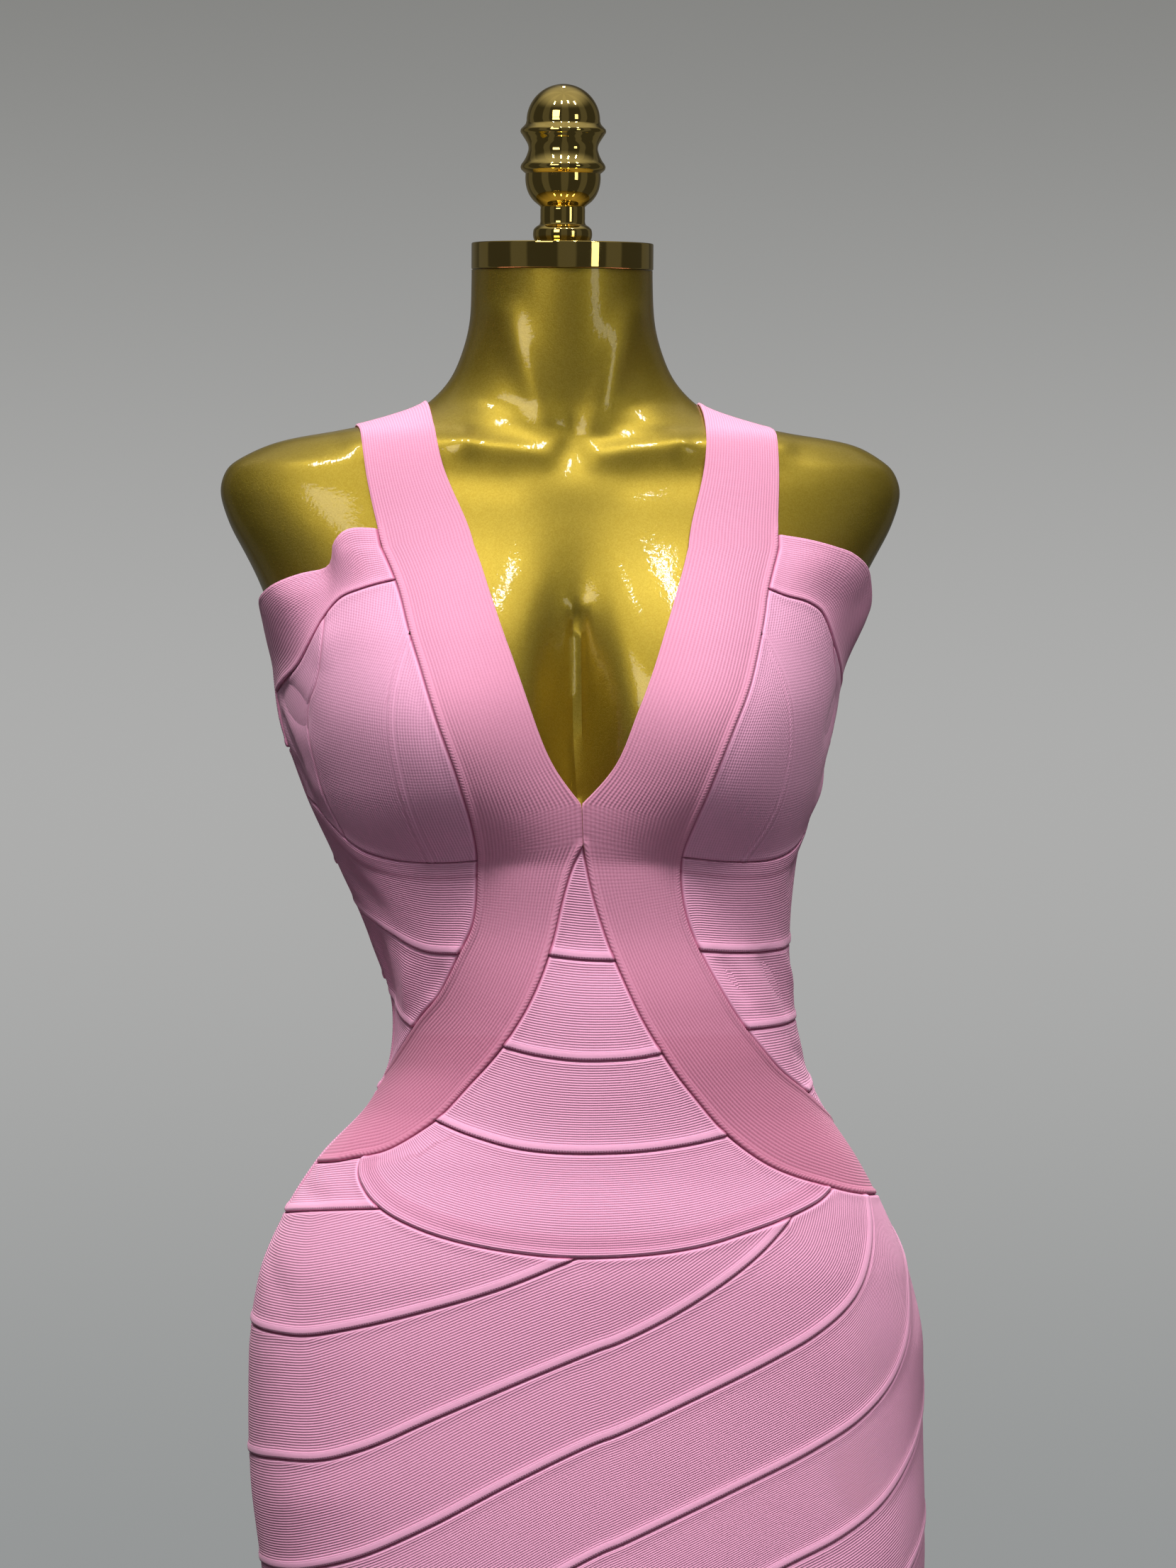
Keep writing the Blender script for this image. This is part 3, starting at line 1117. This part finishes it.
# ---- Materials ---------------------------------------------------------------------------------
class Graph:
    """A material's nodes, made by short calls; a value is a number, a colour or a socket."""

    def __init__(self, name):
        self.material = bpy.data.materials.new(name)
        self.material.use_nodes = True
        self.nodes = self.material.node_tree.nodes
        self.links = self.material.node_tree.links
        self.shader = self.nodes["Principled BSDF"]

    def feed(self, socket, value):
        if isinstance(value, bpy.types.NodeSocket):
            self.links.new(value, socket)
        elif isinstance(value, tuple) and len(value) == 3 and len(socket.default_value) == 4:
            socket.default_value = (*value, 1)
        else:
            socket.default_value = value

    def node(self, kind, inputs, **settings):
        made = self.nodes.new(kind)
        for name, value in settings.items():
            setattr(made, name, value)
        for key, value in inputs.items():
            self.feed(made.inputs[key], value)
        return made

    def math(self, operation, *values):
        made = self.node("ShaderNodeMath", {}, operation=operation)
        for socket, value in zip(made.inputs, values):
            self.feed(socket, value)
        return made.outputs[0]

    def uv(self, name):
        """A UV map's two values in millimetres."""
        made = self.node("ShaderNodeUVMap", {}, uv_map=name)
        split = self.node("ShaderNodeSeparateXYZ", {"Vector": made.outputs[0]})
        return [self.math("MULTIPLY", split.outputs[k], 1 / MM) for k in (0, 1)]

    def object_place(self):
        return self.node("ShaderNodeTexCoord", {}).outputs["Object"]

    def step(self, value, low, high):
        """0 at low and 1 at high, with soft ends."""
        made = self.node(
            "ShaderNodeMapRange", {"Value": value, "From Min": low, "From Max": high},
            interpolation_type="SMOOTHSTEP",
        )
        return made.outputs[0]

    def fade(self, value, low, high):
        """1 at low and 0 at high, with soft ends."""
        return self.math("SUBTRACT", 1, self.step(value, low, high))

    def total(self, start, parts):
        """A start and a list of parts, each with its weight, added up."""
        for part, weight in parts:
            start = self.math("MULTIPLY_ADD", part, weight, start)
        return start

    def wave(self, value, pitch):
        """A row of rounded ridges: 1 at each crest and 0 between."""
        turn = self.math("MULTIPLY", value, 2 * math.pi / pitch)
        return self.math("MULTIPLY_ADD", self.math("COSINE", turn), 0.5, 0.5)

    def noise(self, scale, detail=2.0, vector=None):
        made = self.node(
            "ShaderNodeTexNoise",
            {"Vector": vector or self.object_place(), "Scale": scale, "Detail": detail},
        )
        return made.outputs["Fac"]

    def mix(self, share, one, other):
        made = self.node("ShaderNodeMix", {}, data_type="RGBA")
        for socket, value in zip((made.inputs[0], made.inputs[6], made.inputs[7]), (share, one, other)):
            self.feed(socket, value)
        return made.outputs[2]

    def bump(self, height, distance, strength=1.0):
        inputs = {"Height": height, "Distance": distance, "Strength": strength}
        return self.node("ShaderNodeBump", inputs).outputs[0]

    def finish(self, **sockets):
        for name, value in sockets.items():
            self.feed(self.shader.inputs[name.replace("_", " ")], value)
        return self.material


# Knits: the cloth's colour and the deeper one in its grooves; the pitch of its ribs and stitches and
# the depth of their bumps; how much the stitches ("grid") and the grooves' colour show; where a deeper
# stripe lies in from a hem or arc; and, in metres, the height of a faint change of colour
KNITS = {
    "band": {"light": (0.88, 0.43, 0.65), "deep": (0.44, 0.10, 0.21), "rib": 1.45, "stitch": 1.2,
             "depth": 0.22, "grid": 0.12, "groove": 0.42, "stripe": (8.2, 9.2)},
    "arc_band": {"light": (0.88, 0.42, 0.64), "deep": (0.44, 0.11, 0.22), "rib": 1.4, "stitch": 1.2,
                 "depth": 0.2, "grid": 0.15, "groove": 0.36, "stripe": (2.6, 11)},
    "v_band": {"light": (0.74, 0.315, 0.48), "deep": (0.38, 0.07, 0.14), "rib": 1.75, "stitch": 1.5,
               "depth": 0.2, "grid": 0.2, "groove": 0.24, "stripe": (8, 9), "faded_above": 1.062},
    "fine": {"light": (0.87, 0.40, 0.61), "deep": (0.44, 0.10, 0.20), "rib": 1.3, "stitch": 1.2,
             "depth": 0.12, "grid": 0.4, "groove": 0.24, "stripe": (8, 9)},
    "cup": {"light": (0.87, 0.43, 0.65), "deep": (0.44, 0.11, 0.22), "rib": 1.65, "stitch": 1.7,
            "depth": 0.13, "grid": 0.4, "groove": 0.24, "stripe": (8, 9)},
}
TOOTH_PITCH = 1.5
LASH_PITCH = 1.7


def ribbed_part(g, over, under, whip, free, seam):
    """1 where ribs show, and 0 on the smooth welt above a seam and on the other finished edges."""
    ribbed = g.step(over, 3.6, 4.6)
    for away, low, high in ((under, 1.4, 2.6), (whip, 2.2, 3.0), (free, 0.1, 0.7), (seam, 0.6, 1.1)):
        ribbed = g.math("MULTIPLY", ribbed, g.step(away, low, high))
    return ribbed


def edge_stitches(g, along, over, whip):
    """Overlock teeth at the welt's edge, and slanted whip stitches over the V bands' edges."""
    teeth = g.math("MULTIPLY", g.wave(along, TOOTH_PITCH), g.fade(over, 0.6, 1.3))
    lash = g.wave(g.math("MULTIPLY_ADD", whip, 0.5, along), LASH_PITCH)
    lashes = g.math("MULTIPLY", lash, g.fade(whip, 1.8, 2.8))
    return g.total(0.0, ((teeth, 0.8), (lashes, 0.55)))


def height_shade(g, shade, place, faded_above):
    """The V bands' colour: a shade deeper towards the hips, and a shade paler above a faint line."""
    z = g.node("ShaderNodeSeparateXYZ", {"Vector": place}).outputs["Z"]
    paler = g.step(z, faded_above - 0.0015, faded_above + 0.0015)
    return g.total(shade, ((paler, -0.07), (g.fade(z, 1.05, 1.17), 0.3)))


def knit_material(name, knit):
    """Ribbed knit from its UV maps: places in the knit, and distances to each kind of edge."""
    g = Graph(name)
    along, across = g.uv("knit")
    over, under = g.uv("edge")
    free, seam = g.uv("rim")
    whip, trim = g.uv("trim")
    place = g.object_place()

    drift = g.math("MULTIPLY_ADD", g.noise(14, 1, place), 0.9, -0.45)
    rib = g.wave(g.math("ADD", across, drift), knit["rib"])
    stitch = g.math("SUBTRACT", g.wave(along, knit["stitch"]), 0.5)
    weave = g.total(rib, ((stitch, knit["grid"]),))
    ribbed = ribbed_part(g, over, under, whip, free, seam)
    groove = g.math("MULTIPLY", g.math("POWER", g.math("SUBTRACT", 1, weave), 2), ribbed)
    stitched = edge_stitches(g, along, over, whip)
    fuzz = g.noise(900, 3, place)
    height = g.math("MULTIPLY", weave, ribbed)
    height = g.total(height, ((g.math("SUBTRACT", 1, ribbed), 0.8), (fuzz, 0.3), (stitched, -1.0)))

    # Colour: deeper in grooves, between stitches and in the crease under each welt
    low, high = knit["stripe"]
    stripe = g.math("MULTIPLY", g.step(trim, low - 0.5, low + 0.3), g.fade(trim, high, high + 2))
    shade = g.total(-0.08, (
        (g.noise(5.5, 3, place), 0.16), (groove, knit["groove"]), (stitched, 0.45),
        (g.fade(under, 0.5, 1.6), 0.8), (g.fade(seam, 0.15, 0.8), 0.5), (stripe, 0.16), (fuzz, 0.10),
    ))
    shade = g.math("MINIMUM", g.math("MAXIMUM", shade, 0), 1)
    if "faded_above" in knit:
        shade = height_shade(g, shade, place, knit["faded_above"])
    g.finish(Sheen_Weight=0.2, Sheen_Roughness=0.5, Sheen_Tint=(1.0, 0.75, 0.88), Specular_IOR_Level=0.25)
    return g.finish(
        Base_Color=g.mix(shade, knit["light"], knit["deep"]),
        Roughness=g.math("MULTIPLY_ADD", groove, 0.2, 0.66),
        Normal=g.bump(height, knit["depth"] * MM),
    )


def paint_material():
    """Olive gold metal-flake paint under a clear coat, on a slightly pebbled casting."""
    g = Graph("gold_flake_paint")
    place = g.object_place()
    flake = g.node("ShaderNodeTexVoronoi", {"Vector": place, "Scale": 1600}).outputs["Color"]
    sparkle = g.node("ShaderNodeSeparateColor", {"Color": flake}).outputs[0]
    cloud = g.noise(9, 3, place)
    share = g.math("MULTIPLY_ADD", sparkle, 0.35, g.math("MULTIPLY", cloud, 0.4))
    color = g.mix(share, (0.48, 0.335, 0.026), (0.68, 0.52, 0.085))
    pebble = g.noise(420, 2, place)
    peel = g.noise(60, 2, place)
    rough = g.math("MULTIPLY_ADD", g.noise(30, 3, place), 0.1, 0.36)
    coat_normal = g.bump(g.math("MULTIPLY_ADD", pebble, 0.5, peel), 0.35 * MM, 0.5)
    g.finish(Metallic=0.92, Coat_Weight=0.75, Coat_Roughness=0.04, Coat_IOR=1.5)
    g.feed(g.shader.inputs["Coat Normal"], coat_normal)
    return g.finish(Base_Color=color, Roughness=rough, Normal=g.bump(sparkle, 0.12 * MM, 0.6))


def metal_material():
    """Mirror-polished yellow gold plate with faint smears."""
    g = Graph("gold_plate")
    place = g.object_place()
    smear = g.noise(45, 4, place)
    color = g.mix(smear, (0.83, 0.60, 0.16), (0.90, 0.68, 0.22))
    rough = g.math("MULTIPLY_ADD", g.step(smear, 0.45, 0.75), 0.07, 0.03)
    g.finish(Metallic=1.0)
    return g.finish(Base_Color=color, Roughness=rough, Normal=g.bump(smear, 0.15 * MM, 0.25))


def floor_material():
    g = Graph("studio_floor")
    grain = g.noise(3, 4)
    return g.finish(Base_Color=g.mix(grain, (0.42, 0.42, 0.41), (0.47, 0.47, 0.46)), Roughness=0.7)


# ---- Studio ------------------------------------------------------------------------------------
WARM, COOL = (1, 0.97, 0.93), (0.95, 0.98, 1)
DRESS_AIM, NECK_AIM = (0, 0, 1.1), (0, 0, 1.35)

# Lights, in metres: name, place, aim, size, power, colour and what they light
LIGHTS = (
    ("key_left", (-1.1, -2.4, 5.25), DRESS_AIM, (1.1, 0.8), 224, WARM, "cloth"),
    ("key_right", (1.0, -2.4, 5.25), DRESS_AIM, (1.1, 0.8), 124, WARM, "cloth"),
    ("front", (-0.3, -3.5, 1.7), (0, 0, 1.0), (1.4, 1.0), 13, COOL, "cloth"),
    ("sheen", (-1.5, -2.7, 2.5), NECK_AIM, (1.2, 1.2), 16, WARM, "metal"),
    ("window", (2.1, -2.9, 1.7), (0, 0, 1.3), (0.6, 1.5), 6, COOL, "all"),
    ("back", (0.3, 1.9, 4.2), DRESS_AIM, (1.8, 1.2), 110, WARM, "cloth"),
)
LAMPS = ((-1.3, -1.4, 3.8), (-0.4, -1.7, 3.9), (0.45, -1.6, 3.9), (1.35, -1.4, 3.8), (0.2, 1.7, 3.9))
LAMP_SIZE = (0.1, 0.5)
LAMP_POWER = 8.5


def make_floor(material):
    half = 4500
    corners = [(-half, -half, 0), (half, -half, 0), (half, half, 0), (-half, half, 0)]
    floor = new_piece("studio_floor", corners, [(0, 1, 2, 3)], material)
    floor.visible_diffuse = False
    floor.visible_glossy = False


def make_camera():
    """Level with the midriff, 3 m off and a little to the left; the view is tall and 0.88 m high."""
    azimuth = math.radians(6)
    distance, aside, level = 3.0, 0.0146, 1.2
    view_height = 0.88268
    camera = bpy.data.cameras.new("camera")
    camera.sensor_width = 36
    camera.lens = distance / view_height * camera.sensor_width
    holder = bpy.data.objects.new("camera", camera)
    ahead = Vector((math.sin(azimuth), math.cos(azimuth), 0))
    right = Vector((math.cos(azimuth), -math.sin(azimuth), 0))
    holder.location = -distance * ahead + aside * right + Vector((0, 0, level))
    holder.rotation_euler = (math.radians(90), 0, -azimuth)
    bpy.context.scene.collection.objects.link(holder)
    bpy.context.scene.camera = holder


def make_light(name, place, target, size, power, color, lights):
    """An area light; one for "cloth" makes no shine, and one for "metal" makes nothing else."""
    light = bpy.data.lights.new(name, "AREA")
    light.shape = "RECTANGLE"
    light.size, light.size_y = size
    light.energy = power
    light.color = color
    holder = bpy.data.objects.new(name, light)
    holder.location = place
    holder.rotation_euler = (Vector(target) - Vector(place)).to_track_quat("-Z", "Y").to_euler()
    holder.visible_glossy = lights != "cloth"
    holder.visible_diffuse = lights != "metal"
    bpy.context.scene.collection.objects.link(holder)


def make_lights():
    for row in LIGHTS:
        make_light(*row)
    for i, place in enumerate(LAMPS, 1):
        make_light(f"lamp_{i}", place, NECK_AIM, LAMP_SIZE, LAMP_POWER, WARM, "metal")


class World(Graph):
    """The world's nodes."""

    def __init__(self):
        world = bpy.data.worlds.new("studio")
        bpy.context.scene.world = world
        world.use_nodes = True
        self.nodes, self.links = world.node_tree.nodes, world.node_tree.links
        self.shader = self.nodes["Background"]


def make_world():
    """A pale grey room: plain to the eye, and for light a soft ceiling, a wall behind and dim sides."""
    w = World()
    direction = w.node("ShaderNodeTexCoord", {}).outputs["Generated"]
    split = w.node("ShaderNodeSeparateXYZ", {"Vector": direction})
    x, y, z = split.outputs
    seen = w.mix(w.step(z, -0.16, 0.0), (0.30, 0.31, 0.31), (0.42, 0.42, 0.415))
    seen = w.mix(w.step(z, 0.0, 0.2), seen, (0.20, 0.20, 0.19))
    level = w.math("MULTIPLY_ADD", w.step(y, 0.7, 0.98), 0.06, 0.035)
    level = w.math("MULTIPLY_ADD", w.step(z, 0.5, 0.95), 0.34, level)
    stripes = w.step(w.wave(w.math("ARCTAN2", x, w.math("MULTIPLY", y, -1)), 1.1), 0.6, 0.8)
    level = w.math("MULTIPLY_ADD", stripes, 0.05, level)
    lit = w.mix(level, (0, 0, 0), (1.0, 0.99, 0.97))
    eye = w.node("ShaderNodeLightPath", {}).outputs["Is Camera Ray"]
    w.feed(w.shader.inputs["Color"], w.mix(eye, lit, seen))


def main():
    bpy.context.scene.view_settings.view_transform = "Standard"
    make_camera()
    make_lights()
    make_world()
    make_floor(floor_material())
    knits = {kind: knit_material(f"knit_{kind}", knit) for kind, knit in KNITS.items()}
    plate = metal_material()
    make_form(paint_material())
    make_cap_and_finial(plate)
    make_stand(plate)
    make_dress(knits)


main()
